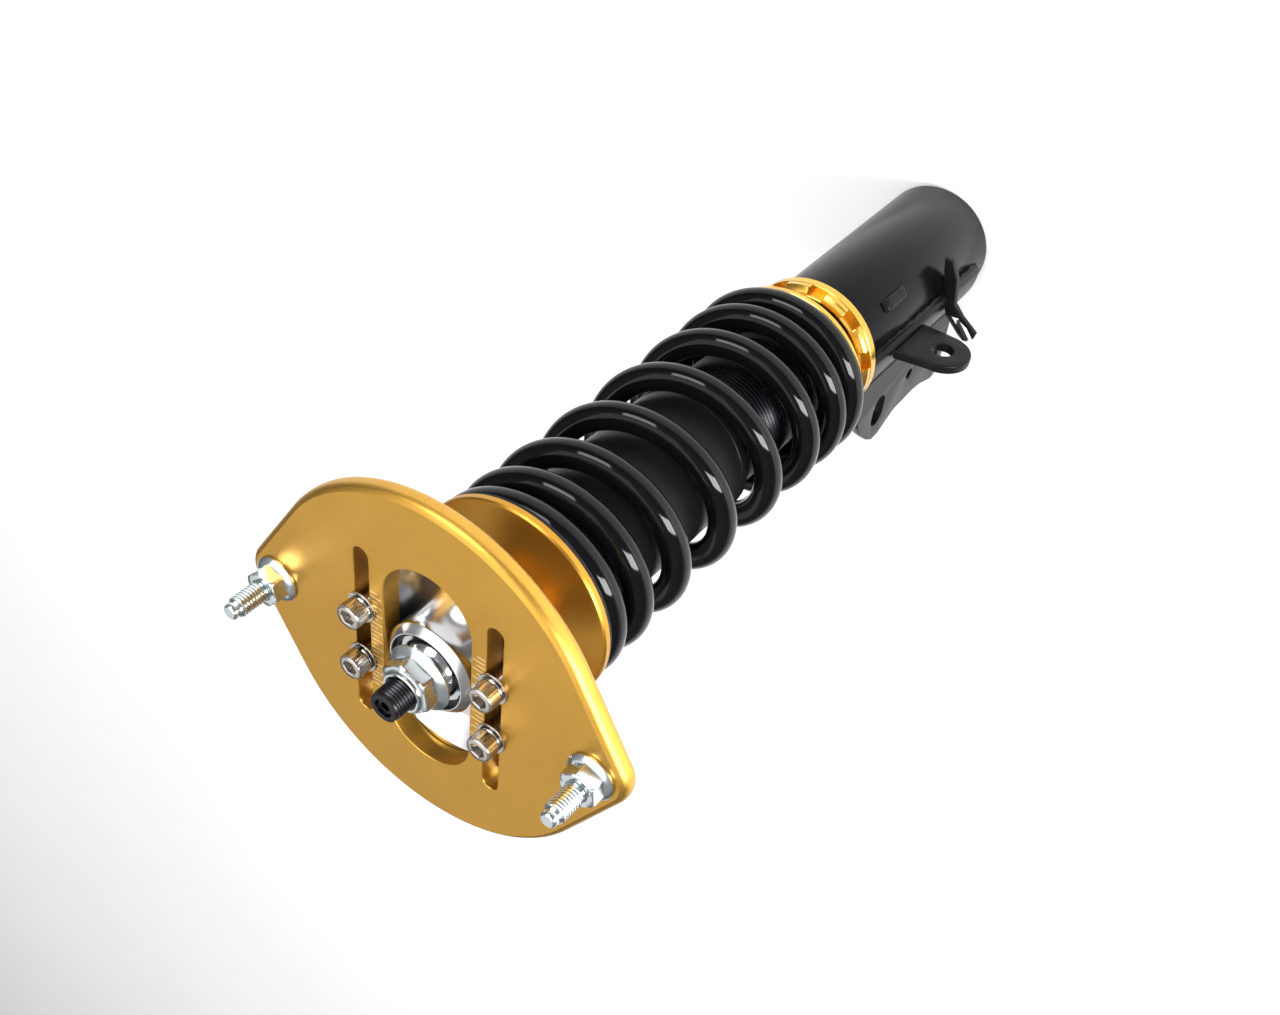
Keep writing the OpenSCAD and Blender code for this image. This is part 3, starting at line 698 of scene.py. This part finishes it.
def damping_adjuster():
    """The screw in the rod's end, with a hexagon socket."""
    low, high = (corner.z for corner in cad_box("damping_adjuster"))
    radius, socket, socket_depth = 3.42, hexagon(3.2, 0.2), 3
    rows = [(0, low), (radius - 0.12, low), (radius, low + 0.2), (radius, high - 0.2),
            (radius - 0.22, high), (lambda a: socket(a) + 0.2, high), (socket, high - 0.2),
            (socket, high - socket_depth), (0, high - socket_depth - 0.6)]
    build = Build().rings(rows, 60)
    finish(build, "damping_adjuster_socket", "adjuster_black", "adjuster", "damping_adjuster")


# ---- upper seat and spring

def upper_spring_seat():
    """The orange-gold disc, with a hub above and a collar that holds the dust boot below."""
    top, rim_bottom, hub_top = -44.0, -48.0, SEAT_HIGH.z
    bore, hub_r, radius = 10.05, 19.0, SEAT_HIGH.x
    collar_inner, collar_outer = 23.7, 26.7
    rows = [(bore, hub_top), (hub_r - 0.4, hub_top), (hub_r, hub_top - 0.4), (hub_r, top + 1.0),
            (hub_r + 0.4, top + 0.3), (hub_r + 1.2, top), (radius - 1.4, top), (radius - 0.5, top - 0.3),
            (radius, top - 1.1), (radius, rim_bottom + 0.8), (radius - 0.8, rim_bottom),
            (collar_outer, rim_bottom), (collar_outer, SEAT_LOW.z), (collar_inner, SEAT_LOW.z),
            (collar_inner, rim_bottom), (bore, rim_bottom)]
    build = Build().rings(rows, 160, closed=True)
    finish(build, "upper_spring_seat_turned", "seat_gold", "upper_seat", "upper_spring_seat", angle=28)


def upper_isolator():
    low, high = (corner.z for corner in cad_box("upper_isolator"))
    inner, outer = 29.5, 40.5
    rows = [(inner, low), (outer - 0.3, low), (outer, low + 0.3), (outer, high - 0.2), (outer - 0.3, high),
            (inner, high)]
    build = Build().rings(rows, 128, closed=True)
    finish(build, "upper_isolator_ring", "isolator_black", "upper_seat", "upper_isolator")


def spring_point(u):
    """The wire's centre line, as in the CAD: close turns at the ends, a wider pitch between. It runs
    on a little past the two faces, and u goes from 0 at the top to 1 at the bottom."""
    top_deg, past, closing = 251.5, 2, 0.48
    angle = math.radians(top_deg - 360 * SPRING_TURNS * u)
    length = SPRING_HIGH.z - SPRING_LOW.z + 2 * past
    z = SPRING_HIGH.z + past - length * (u - closing * math.sin(TAU * u) / TAU)
    return (SPRING_R * math.cos(angle) * MM, SPRING_R * math.sin(angle) * MM, z * MM)


def tube_nodes(radius_m, material, resolution):
    """Geometry nodes that give an edge mesh a round section with capped ends."""
    group = bpy.data.node_groups.new("round_wire", "GeometryNodeTree")
    group.interface.new_socket("Geometry", in_out="INPUT", socket_type="NodeSocketGeometry")
    group.interface.new_socket("Geometry", in_out="OUTPUT", socket_type="NodeSocketGeometry")
    nodes, links = group.nodes, group.links
    start = nodes.new("NodeGroupInput")
    end = nodes.new("NodeGroupOutput")
    curve = nodes.new("GeometryNodeMeshToCurve")
    ring = nodes.new("GeometryNodeCurvePrimitiveCircle")
    ring.inputs["Resolution"].default_value = resolution
    ring.inputs["Radius"].default_value = radius_m
    sweep = nodes.new("GeometryNodeCurveToMesh")
    sweep.inputs["Fill Caps"].default_value = True
    smooth = nodes.new("GeometryNodeSetShadeSmooth")
    paint = nodes.new("GeometryNodeSetMaterial")
    paint.inputs["Material"].default_value = material
    chain = (start, curve, sweep, smooth, paint, end)
    for before, after in zip(chain, chain[1:]):
        links.new(before.outputs[0], after.inputs[0])
    links.new(ring.outputs["Curve"], sweep.inputs["Profile Curve"])
    return group


def coil_spring():
    """The wire, swept by geometry nodes."""
    per_turn = 96
    count = round(SPRING_TURNS * per_turn)
    points = [spring_point(i / count) for i in range(count + 1)]
    mesh = bpy.data.meshes.new("coil_spring_wound")
    mesh.from_pydata(points, [(i, i + 1) for i in range(count)], [])
    mesh.materials.append(MATERIALS["spring_black"])
    piece = bpy.data.objects.new("coil_spring_wound", mesh)
    bpy.context.scene.collection.objects.link(piece)
    wire = piece.modifiers.new("round_wire", "NODES")
    wire.node_group = tube_nodes(WIRE_R * MM, MATERIALS["spring_black"], 32)
    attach(piece, "upper_seat")
    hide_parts("coil_spring")
    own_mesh(piece)


def dust_boot():
    """The cover tube inside the spring, with a slightly thicker band at each end."""
    low, high, outer = BOOT_LOW.z, BOOT_HIGH.z, BOOT_HIGH.x
    inner, step, foot, head = outer - 1.5, 0.35, 4, 8.6
    rows = [(inner, low), (outer - 0.5, low), (outer, low + 0.5), (outer, low + foot),
            (outer - step, low + foot + 0.4), (outer - step, high - head - 0.4), (outer, high - head),
            (outer, high - 0.4), (outer - 0.4, high), (inner, high)]
    build = Build().rings(rows, 128, closed=True)
    finish(build, "dust_boot_moulded", "boot_black", "upper_seat", "dust_boot")


# ---- damper body and rings

def damper_tube():
    """The threaded body."""
    low, high, inner = BODY_LOW.z, BODY_HIGH.z, BODY_R - 3
    pitch, depth, segments = 2.0, 0.5, 96
    z0, z1 = low + 1, high - 3
    root = BODY_R - depth
    build = Build().rings([(inner, high), (inner, low), (root - 0.4, low), (root, low + 0.4), (root, z0)],
                          segments)
    build.thread(BODY_R, pitch, z0, z1, depth, segments)
    build.rings([(root, z1), (root, high - 0.6), (root - 0.5, high), (inner, high)], segments)
    finish(build, "damper_tube_threaded", "body_dark", "damper_body", "damper_tube")


# Degrees from a notch's side over which it drops, and over which its edge is eased.
NOTCH_BLEND = 0.12
NOTCH_BEVEL = 0.7


def notch_angles(first_deg, half_deg):
    """Angles with close pairs at each notch's sides, so that its walls stand up straight."""
    angles = []
    between = 6
    step = 360 / NOTCHES
    for k in range(NOTCHES):
        centre = first_deg + k * step
        for side in (-1, 1):
            edge = centre + side * half_deg
            angles += [edge - side * NOTCH_BLEND, edge + side * NOTCH_BLEND, edge + side * NOTCH_BEVEL]
        angles += [centre + half_deg * (2 * i / between - 1) * 0.9 for i in range(between + 1)]
        free = step - 2 * (half_deg + NOTCH_BEVEL)
        angles += [centre + half_deg + NOTCH_BEVEL + free * (i + 0.5) / (between * 2)
                   for i in range(between * 2)]
    return sorted(math.radians(a % 360) for a in angles)


def notched(full, floor, first_deg, half_deg):
    """A radius that drops to floor inside a notch and eases off a little at the notch's edges."""
    step, eased = 360 / NOTCHES, 0.3

    def radius(a):
        off = abs((math.degrees(a) - first_deg + step / 2) % step - step / 2)
        if off < half_deg:
            return min(full, floor)
        return full - eased if off < half_deg + NOTCH_BEVEL * 0.9 else full
    return radius


def lower_isolator():
    low, high, outer = ISOLATOR_LOW.z, ISOLATOR_HIGH.z, ISOLATOR_HIGH.x
    rows = [(BORE_R, low), (outer - 0.3, low), (outer, low + 0.3), (outer, high - 0.3),
            (outer - 0.3, high), (BORE_R, high)]
    build = Build().rings(rows, 128, closed=True)
    finish(build, "lower_isolator_washer", "isolator_black", "perch_washer", "lower_isolator")


def spring_perch():
    """The ring that carries the spring: a flange over a web with lugs for a spanner."""
    low, high, outer = PERCH_LOW.z, PERCH_HIGH.z, PERCH_HIGH.x
    first, half = 53.0, 9.0
    skirt, web, skirt_top = 30.0, 28.0, -236.5
    flange_t = 3.5

    def block(radius):
        return notched(radius, web, first, half)

    under = high - flange_t
    rows = [(BORE_R, low + 0.5), (BORE_R + 0.5, low), (web - 0.6, low), (web, low + 0.5),
            (block(skirt - 0.5), low + 1.0), (block(skirt), low + 1.5), (block(skirt), skirt_top - 0.5),
            (block(skirt - 0.5), skirt_top), (web, skirt_top + 0.05), (web, under - 0.8),
            (web + 0.8, under), (outer - 0.7, under), (outer, under + 0.7), (outer, high - 0.7),
            (outer - 0.7, high), (BORE_R + 0.5, high), (BORE_R, high - 0.5)]
    build = Build().rings(rows, 0, closed=True, angles=notch_angles(first, half))
    finish(build, "spring_perch_turned", "ring_gold", "perch", "spring_perch", angle=30)


def lock_ring():
    """The ring that locks the lower tube, with spanner notches cut down from its bevelled top."""
    low, high, outer = RING_LOW.z, RING_HIGH.z, RING_HIGH.x
    first, half = 16.3, 7.3
    floor_z, floor_r = high - 5.0, outer - 3.0
    bevel_h, bevel_w = 1.9, 3.4

    def cut(radius):
        return notched(radius, floor_r, first, half)

    rows = [(BORE_R, low + 0.5), (BORE_R + 0.5, low), (outer - 0.8, low), (outer, low + 0.8),
            (outer, floor_z - 0.3), (outer - 0.25, floor_z - 0.02), (cut(outer - 0.25), floor_z),
            (cut(outer), floor_z + 0.3), (cut(outer), high - bevel_h - 0.5),
            (cut(outer - 0.4), high - bevel_h), (cut(outer - bevel_w + 0.8), high - 0.3),
            (outer - bevel_w, high), (BORE_R + 0.8, high), (BORE_R, high - 0.8)]
    build = Build().rings(rows, 0, closed=True, angles=notch_angles(first, half))
    finish(build, "lock_ring_turned", "ring_gold", "ring", "lock_ring", angle=30)


# ---- lower mount

def lower_tube():
    """The painted socket that the body screws into, closed below."""
    low, high, end_t = TUBE_LOW.z, TUBE_HIGH.z, 4
    rows = [(0, low), (TUBE_R - 2.2, low), (TUBE_R - 0.8, low + 0.5), (TUBE_R, low + 1.8),
            (TUBE_R, high - 0.8), (TUBE_R - 0.6, high), (BORE_R + 0.4, high), (BORE_R, high - 0.5),
            (BORE_R, low + end_t), (0, low + end_t)]
    build = Build().rings(rows, 160)
    finish(build, "lower_tube_painted", "tube_black", "lower_mount", "lower_tube")


# Turns a slab's x and y into Y and Z, and its thickness into X.
EAR_FRAME = Matrix(((0, 0, 1, 0), (1, 0, 0, 0), (0, 1, 0, 0), (0, 0, 0, 1)))


def ear_outline():
    """An ear from the side, as (y, z), counter-clockwise."""
    return rounded([(-13, -258, 1), (-18, -258, 3), (-36, -261, 12), (-44, -267, 12), (-52, -276, 8),
                    (-55.5, -282, 5), (-55.5, -288, 5), (-49, -302, 14), (-48, -321, 14),
                    (-49, -330, 14), (-53, -343, 3.5), (-51, -350, 3.5), (-13, -350, 1)])


def saddle(build, side):
    """The strip that wraps the tube beside an ear, rounded at its free edge."""
    low, high, inner, thick, edge = -365.0, -258.0, TUBE_R + 0.02, 2.48, 0.5
    first_deg, reach_deg, steps = -34, 42, 14
    sections = []
    for k in range(steps + 1):
        a = math.radians(first_deg + reach_deg * k / steps)
        outer = inner + thick * math.sin(min(1, (steps - k) / 2) * math.pi / 2)
        shoulder = max(inner, outer - edge)
        profile = [(inner, low), (shoulder, low), (outer, low + edge), (outer, high - edge),
                   (shoulder, high), (inner, high)]
        sections.append([(side * r * math.cos(a), r * math.sin(a), z) for r, z in profile])
    build.loft(sections)


def bead_path(angle, z0, z1, radius, steps=40):
    """A weld's path along the tube with a slight wander."""
    wander_deg, wander_rate = 0.6, 1.7
    points = []
    for k in range(steps + 1):
        a = math.radians(angle + wander_deg * math.sin(k * wander_rate))
        points.append((radius * math.cos(a), radius * math.sin(a), z0 + (z1 - z0) * k / steps))
    return points


def ripple(size):
    """A weld bead's radius along its length, thin at its ends."""
    waves, depth, end, bluntness = 120, 0.14, 0.06, 0.15

    def radius(u):
        taper = math.sin(math.pi * min(1, end + u * (1 - end))) ** bluntness
        return size * (1 + depth * math.sin(u * waves)) * taper
    return radius


def knuckle_ears():
    """Two ears with their saddles on the tube, and a weld along each saddle's edge."""
    thickness, bolt_r, clip_r, slot_reach = 4.0, 5.25, 2.75, 3
    build = Build()
    holes = [obround((-38, -282), bolt_r, slot_reach, 16, along=180),
             circle((-38, -338), bolt_r, 32), circle((-32.5, -311), clip_r, 24)]
    for side in SIDES:
        place = Matrix.Translation((side * TUBE_R - (thickness if side > 0 else 0), 0, 0)) @ EAR_FRAME
        build.slab(ear_outline(), holes, thickness, 0.7, 0.4, place)
        saddle(build, side)
    finish(build, "knuckle_ears_folded", "bracket_black", "lower_mount", "knuckle_ears",
           angle=35)
    welds = Build()
    weld_deg, weld_top, weld_bottom, weld_r = 8.5, -262, -362, 1.5
    for angle in (weld_deg, 180 - weld_deg):
        welds.sweep(bead_path(angle, weld_top, weld_bottom, TUBE_R + 0.2), ripple(weld_r), 10, 0.8)
    finish(welds, "ear_welds", "tube_black", "lower_mount")


# Turns a slab's y into Z, and its thickness into -Y.
TAB_FRAME = Matrix(((1, 0, 0, 0), (0, 0, -1, 0), (0, 1, 0, 0), (0, 0, 0, 1)))


def link_tab():
    """The tab for the anti-roll-bar link: a root on the saddle and a round end about its hole."""
    thickness, end_r, hole, hole_r = 4.5, 13.0, (46.8, -293.0), 5.0
    root_x, root_low, root_high = TUBE_R + 2.55, -306, -277
    outline = [(root_x, root_low), (hole[0], hole[1] - end_r)]
    outline += arc(hole, end_r, -88, 88, 28)
    outline += [(hole[0], hole[1] + end_r), (root_x, root_high)]
    build = Build().slab(outline, [circle(hole, hole_r, 40)], thickness, 0.9, 0.5, TAB_FRAME)
    finish(build, "link_tab_pressed", "bracket_black", "lower_mount", "link_tab",
           angle=35)


def tube_rib():
    """A rounded pad on the tube: its face rises quickly from the edges, its back is in the wall."""
    centre, half, low, high = 41.0, 6.0, -295.5, -277.0
    base_r, back_r, height = TUBE_R - 0.1, TUBE_R - 0.4, 2.6
    steps, rows = 20, 30
    spread = [2 * k / steps - 1 for k in range(steps + 1)]
    sections = []
    for i in range(rows + 1):
        v = i / rows
        z = low + (high - low) * v
        rises = [max(0.0, 1 - abs(u) ** 5) * max(0.0, 1 - abs(2 * v - 1) ** 9) for u in spread]
        line = [(u, base_r + height * rise ** 0.7) for u, rise in zip(spread, rises)]
        line += [(u, back_r) for u in reversed(spread)]
        angles = [math.radians(centre + half * u) for u, _ in line]
        sections.append([(r * math.cos(a), r * math.sin(a), z) for a, (_, r) in zip(angles, line)])
    build = Build().loft(sections)
    finish(build, "tube_rib_pressed", "bracket_black", "lower_mount", "tube_rib",
           angle=60)


def hose_bracket():
    """A flat strip that leaves the tube sideways and ends in a fork for the brake hose."""
    thickness, face_z, fork_w, fork_deg, tip = 3.0, -330.0, 3.2, -48, 9.5
    along = Vector((math.cos(math.radians(fork_deg)), math.sin(math.radians(fork_deg))))
    across = Vector((-along.y, along.x)) * fork_w / 2
    start, steps = Vector((39.6, -8.0)), 9
    inner = [tuple(start + along * tip + across), tuple(start + across)]
    for k in range(1, steps):
        a = math.pi * k / steps
        inner.append(tuple(start + across * math.cos(a) - along * math.sin(a) * fork_w / 2))
    inner += [tuple(start - across), tuple(start + along * tip - across)]
    outline = [(24, 21), (26, 10.5), (28.3, 0.5), (31.3, -7.1), (39.5, -14.5), (42.6, -16.5)]
    outline += inner[::-1]
    outline += [(47.9, -10.6), (39.6, -4.9), (34.7, 0.1), (32.5, 12.9), (28.4, 20.8)]
    build = Build().slab(outline, [], thickness, 0.6, 0.4, moved(z=face_z - thickness))
    finish(build, "hose_bracket_pressed", "bracket_black", "lower_mount", "hose_bracket",
           angle=35)


# ---- CAD nodes that stay

def repaint_cad():
    """The hidden turned parts keep their CAD shape and get their finish."""
    slots = {entry["node"]: entry["material_slot"] for entry in frame["record"]["subparts"]}
    for name, piece in frame["nodes"].items():
        if piece.hide_render:
            continue
        piece.data.materials.clear()
        piece.data.materials.append(MATERIALS[slots[name]])


# ---- studio

def studio():
    """A plain pale floor just below the object, and a grey sky, darkest a little above the horizon."""
    floor_mesh = bpy.data.meshes.new("floor")
    reach, floor_z = 8.0, TUBE_LOW.z * MM - 0.001
    floor_mesh.from_pydata([(-reach, -reach, floor_z), (reach, -reach, floor_z),
                            (reach, reach, floor_z), (-reach, reach, floor_z)], [], [(0, 1, 2, 3)])
    floor = bpy.data.objects.new("floor", floor_mesh)
    bpy.context.scene.collection.objects.link(floor)
    material, tree, shader = node_material("floor_pale")
    cloud = add_noise(tree, 3)
    tree.links.new(tint(tree, cloud, (0.93, 0.93, 0.93), (0.95, 0.95, 0.95)), shader.inputs["Base Color"])
    shader.inputs["Roughness"].default_value = 0.6
    floor_mesh.materials.append(material)

    world = bpy.data.worlds.new("studio")
    world.use_nodes = True
    sky = world.node_tree
    coords = sky.nodes.new("ShaderNodeTexCoord")
    split = sky.nodes.new("ShaderNodeSeparateXYZ")
    ramp = sky.nodes.new("ShaderNodeValToRGB")
    stops = ((0.0, 0.30), (0.06, 0.15), (0.28, 0.15), (0.50, 0.34), (1.0, 0.42))
    for _ in range(len(stops) - 2):
        ramp.color_ramp.elements.new(0.5)
    for stop, (height, level) in zip(ramp.color_ramp.elements, stops):
        stop.position = height
        stop.color = (level, level, level, 1)
    sky.links.new(coords.outputs["Generated"], split.inputs[0])
    sky.links.new(split.outputs["Z"], ramp.inputs["Fac"])
    sky.links.new(ramp.outputs["Color"], sky.nodes["Background"].inputs["Color"])
    bpy.context.scene.world = world


def area_light(name, place, target, width, height, radiance):
    """A softbox. Its power follows from the brightness of its face."""
    light = bpy.data.lights.new(name, "AREA")
    light.shape = "RECTANGLE"
    light.size = width
    light.size_y = height
    light.energy = math.pi * width * height * radiance
    lamp = bpy.data.objects.new(name, light)
    bpy.context.scene.collection.objects.link(lamp)
    lamp.location = place
    facing = (Vector(target) - Vector(place)).to_track_quat("-Z", "Y")
    lamp.rotation_euler = facing.to_matrix().to_euler()


def lights():
    """Two large soft lights, and two small bright ones whose reflections draw the coils."""
    middle = (0, 0, -0.16)
    area_light("overhead", (-0.2, 0.4, 2.8), (-0.1, -0.1, -0.3), 4.0, 4.0, 1.6)
    area_light("plate_fill", (-0.9, -1.5, 1.5), (0, 0, 0), 1.6, 1.6, 0.62)
    area_light("key", (-0.35, 1.3, 0.75), middle, 0.85, 0.5, 11)
    area_light("side", (1.3, 0.2, 0.25), middle, 0.42, 0.85, 28)


def camera():
    """The photo's view; the camera's axes and place come from the fit to the photo."""
    data = bpy.data.cameras.new("camera")
    data.sensor_width = 36
    data.lens = 42.19
    eye = bpy.data.objects.new("camera", data)
    right = Vector((0.813, 0.0918, -0.575))
    up = Vector((-0.4364, 0.7499, -0.4972))
    back = Vector((0.3856, 0.6551, 0.6497))
    pose = Matrix((right, up, back)).transposed().to_4x4()
    pose.translation = Vector((226.3, 374.3, 256.2)) * MM
    eye.matrix_world = pose
    bpy.context.scene.collection.objects.link(eye)
    bpy.context.scene.camera = eye
    bpy.context.scene.view_settings.view_transform = "Standard"


for make in (camber_plate, camber_scale, mounting_studs, flange_nuts, carrier_screws, washers,
             bearing_carrier, retaining_ring, rod_nut, piston_rod, damping_adjuster,
             upper_spring_seat, upper_isolator, coil_spring, dust_boot, damper_tube,
             lower_isolator, spring_perch, lock_ring, lower_tube, knuckle_ears, link_tab, tube_rib,
             hose_bracket, repaint_cad, studio, lights, camera):
    make()
